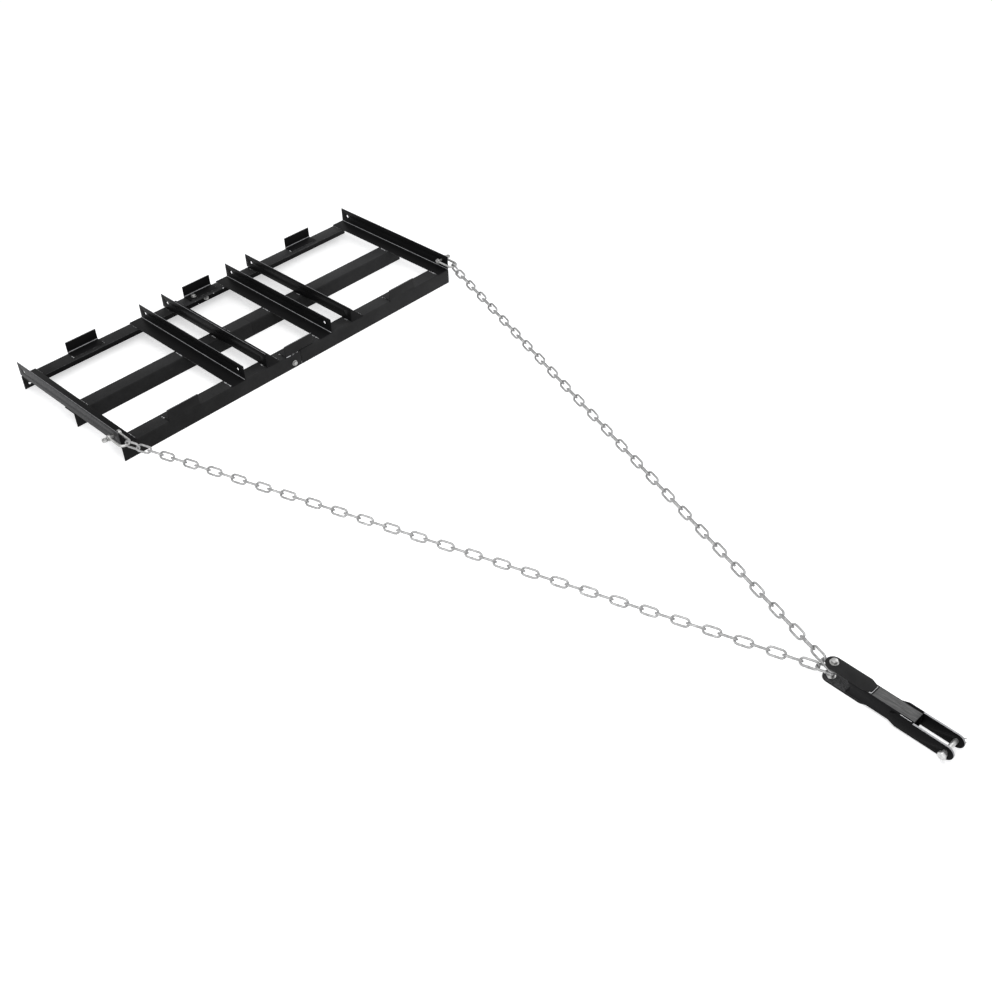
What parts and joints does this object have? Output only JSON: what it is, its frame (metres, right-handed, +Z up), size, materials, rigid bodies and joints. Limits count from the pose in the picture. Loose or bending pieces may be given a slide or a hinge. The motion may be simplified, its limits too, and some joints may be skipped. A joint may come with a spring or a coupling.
{
  "type": "chain harrow",
  "caption": "Tow-behind drag harrow: angle-iron scraper frame with raised cross bars and weight tabs, pulled by a bridle of long chains that meet on a drawbar bracket with a hitch pin.",
  "frame": {"origin": "on the ground, under the middle of the whole length and width", "axes": "+Y the towing direction, +X to the right as seen from behind, +Z up"},
  "size_m": [1.7738, 3.5524, 0.1273],
  "materials": {
    "black_paint": "satin",
    "grey_steel": "satin",
    "zinc": "satin"
  },
  "bodies": {
    "frame": {"rear_rail_right": "black_paint", "rear_rail_left": "black_paint", "middle_rail_right": "black_paint", "middle_rail_left": "black_paint", "front_rail_right": "black_paint", "front_rail_left": "black_paint", "outer_bar_right": "black_paint", "pair_far_bar_right": "black_paint", "pair_near_bar_right": "black_paint", "pair_near_bar_left": "black_paint", "pair_far_bar_left": "black_paint", "outer_bar_left": "black_paint", "rear_weight_tab_right": "black_paint", "rear_weight_tab_centre": "black_paint", "rear_weight_tab_left": "black_paint", "front_weight_tab_right": "black_paint", "front_weight_tab_centre": "black_paint", "front_weight_tab_left": "black_paint", "rear_splice_angle": "black_paint", "front_splice_angle": "black_paint", "rear_blade_bolt": "zinc", "rear_blade_nut": "zinc", "rear_flange_bolt": "zinc", "rear_flange_nut": "zinc", "front_blade_bolt": "zinc", "front_blade_nut": "zinc", "front_flange_bolt": "zinc", "front_flange_nut": "zinc"},
    "shackle_right": {"shackle_bow_right": "zinc", "shackle_pin_right": "zinc"},
    "chain_right_run_1": {"chain_right_run_1": "zinc"},
    "chain_right_run_2": {"chain_right_run_2": "zinc"},
    "chain_right_run_3": {"chain_right_run_3": "zinc"},
    "chain_right_run_4": {"chain_right_run_4": "zinc"},
    "chain_right_run_5": {"chain_right_run_5": "zinc"},
    "chain_right_run_6": {"chain_right_run_6": "zinc"},
    "chain_right_run_7": {"chain_right_run_7": "zinc"},
    "chain_right_run_8": {"chain_right_run_8": "zinc"},
    "shackle_left": {"shackle_bow_left": "zinc", "shackle_pin_left": "zinc"},
    "chain_left_run_1": {"chain_left_run_1": "zinc"},
    "chain_left_run_2": {"chain_left_run_2": "zinc"},
    "chain_left_run_3": {"chain_left_run_3": "zinc"},
    "chain_left_run_4": {"chain_left_run_4": "zinc"},
    "chain_left_run_5": {"chain_left_run_5": "zinc"},
    "chain_left_run_6": {"chain_left_run_6": "zinc"},
    "chain_left_run_7": {"chain_left_run_7": "zinc"},
    "chain_left_run_8": {"chain_left_run_8": "zinc"},
    "drawbar_bracket": {"bracket_tube": "grey_steel", "clevis_plate_bottom": "black_paint", "clevis_plate_top": "black_paint", "side_plate_right": "black_paint", "side_plate_left": "black_paint", "clevis_bolt": "zinc", "clevis_nut": "zinc"},
    "hitch_pin": {"hitch_pin": "zinc"},
    "hairpin_clip": {"hairpin_clip": "zinc"}
  },
  "joints": [
    {"name": "shackle_swing_right", "type": "hinge", "parent": "frame", "child": "shackle_right", "pos_m": [0.8366, -1.11976, 0.0988], "axis": [1, 0, 0], "range_deg": [-30, 138]},
    {"name": "chain_right_flex_1", "type": "hinge", "parent": "shackle_right", "child": "chain_right_run_1", "pos_m": [0.83174, -1.04654, 0.09683], "axis": [1, 0, 0], "range_deg": [-12, 12]},
    {"name": "chain_right_flex_2", "type": "hinge", "parent": "chain_right_run_1", "child": "chain_right_run_2", "pos_m": [0.73824, -0.76282, 0.08919], "axis": [1, 0, 0], "range_deg": [-15, 15]},
    {"name": "chain_right_flex_3", "type": "hinge", "parent": "chain_right_run_2", "child": "chain_right_run_3", "pos_m": [0.64465, -0.47884, 0.08155], "axis": [1, 0, 0], "range_deg": [-15, 15]},
    {"name": "chain_right_flex_4", "type": "hinge", "parent": "chain_right_run_3", "child": "chain_right_run_4", "pos_m": [0.53542, -0.14739, 0.07263], "axis": [1, 0, 0], "range_deg": [-15, 15]},
    {"name": "chain_right_flex_5", "type": "hinge", "parent": "chain_right_run_4", "child": "chain_right_run_5", "pos_m": [0.44183, 0.13659, 0.06499], "axis": [1, 0, 0], "range_deg": [-15, 15]},
    {"name": "chain_right_flex_6", "type": "hinge", "parent": "chain_right_run_5", "child": "chain_right_run_6", "pos_m": [0.34825, 0.42057, 0.05735], "axis": [1, 0, 0], "range_deg": [-15, 15]},
    {"name": "chain_right_flex_7", "type": "hinge", "parent": "chain_right_run_6", "child": "chain_right_run_7", "pos_m": [0.23901, 0.75202, 0.04843], "axis": [1, 0, 0], "range_deg": [-15, 15]},
    {"name": "chain_right_flex_8", "type": "hinge", "parent": "chain_right_run_7", "child": "chain_right_run_8", "pos_m": [0.14543, 1.036, 0.04079], "axis": [1, 0, 0], "range_deg": [-15, 15]},
    {"name": "shackle_swing_left", "type": "hinge", "parent": "frame", "child": "shackle_left", "pos_m": [-0.8366, -1.11976, 0.0988], "axis": [1, 0, 0], "range_deg": [-30, 138]},
    {"name": "chain_left_flex_1", "type": "hinge", "parent": "shackle_left", "child": "chain_left_run_1", "pos_m": [-0.83133, -1.04668, 0.09683], "axis": [1, 0, 0], "range_deg": [-12, 12]},
    {"name": "chain_left_flex_2", "type": "hinge", "parent": "chain_left_run_1", "child": "chain_left_run_2", "pos_m": [-0.72879, -0.76284, 0.08919], "axis": [1, 0, 0], "range_deg": [-15, 15]},
    {"name": "chain_left_flex_3", "type": "hinge", "parent": "chain_left_run_2", "child": "chain_left_run_3", "pos_m": [-0.62615, -0.47874, 0.08155], "axis": [1, 0, 0], "range_deg": [-15, 15]},
    {"name": "chain_left_flex_4", "type": "hinge", "parent": "chain_left_run_3", "child": "chain_left_run_4", "pos_m": [-0.50632, -0.14706, 0.07262], "axis": [1, 0, 0], "range_deg": [-15, 15]},
    {"name": "chain_left_flex_5", "type": "hinge", "parent": "chain_left_run_4", "child": "chain_left_run_5", "pos_m": [-0.40369, 0.13704, 0.06498], "axis": [1, 0, 0], "range_deg": [-15, 15]},
    {"name": "chain_left_flex_6", "type": "hinge", "parent": "chain_left_run_5", "child": "chain_left_run_6", "pos_m": [-0.30105, 0.42114, 0.05733], "axis": [1, 0, 0], "range_deg": [-15, 15]},
    {"name": "chain_left_flex_7", "type": "hinge", "parent": "chain_left_run_6", "child": "chain_left_run_7", "pos_m": [-0.18123, 0.75282, 0.04841], "axis": [1, 0, 0], "range_deg": [-15, 15]},
    {"name": "chain_left_flex_8", "type": "hinge", "parent": "chain_left_run_7", "child": "chain_left_run_8", "pos_m": [-0.07859, 1.03692, 0.04076], "axis": [1, 0, 0], "range_deg": [-15, 15]},
    {"name": "bracket_swivel", "type": "hinge", "parent": "chain_right_run_8", "child": "drawbar_bracket", "pos_m": [0.0384, 1.36075, 0.03205], "axis": [0, 0, 1], "range_deg": [-100, 100]},
    {"name": "hitch_pin_slide", "type": "slide", "parent": "drawbar_bracket", "child": "hitch_pin", "axis": [0.9979, -0.064, 0], "range_m": [-0.009, 0.004]},
    {"name": "hairpin_pull", "type": "slide", "parent": "hitch_pin", "child": "hairpin_clip", "axis": [-0.064, -0.9979, 0], "range_m": [0, 0.034]}
  ],
  "couplings": [
    {"joint": "shackle_swing_left", "follows": "shackle_swing_right", "ratio": 1},
    {"joint": "chain_left_flex_1", "follows": "chain_right_flex_1", "ratio": 1},
    {"joint": "chain_left_flex_2", "follows": "chain_right_flex_2", "ratio": 1},
    {"joint": "chain_left_flex_3", "follows": "chain_right_flex_3", "ratio": 1},
    {"joint": "chain_left_flex_4", "follows": "chain_right_flex_4", "ratio": 1},
    {"joint": "chain_left_flex_5", "follows": "chain_right_flex_5", "ratio": 1},
    {"joint": "chain_left_flex_6", "follows": "chain_right_flex_6", "ratio": 1},
    {"joint": "chain_left_flex_7", "follows": "chain_right_flex_7", "ratio": 1},
    {"joint": "chain_left_flex_8", "follows": "chain_right_flex_8", "ratio": 1}
  ]
}
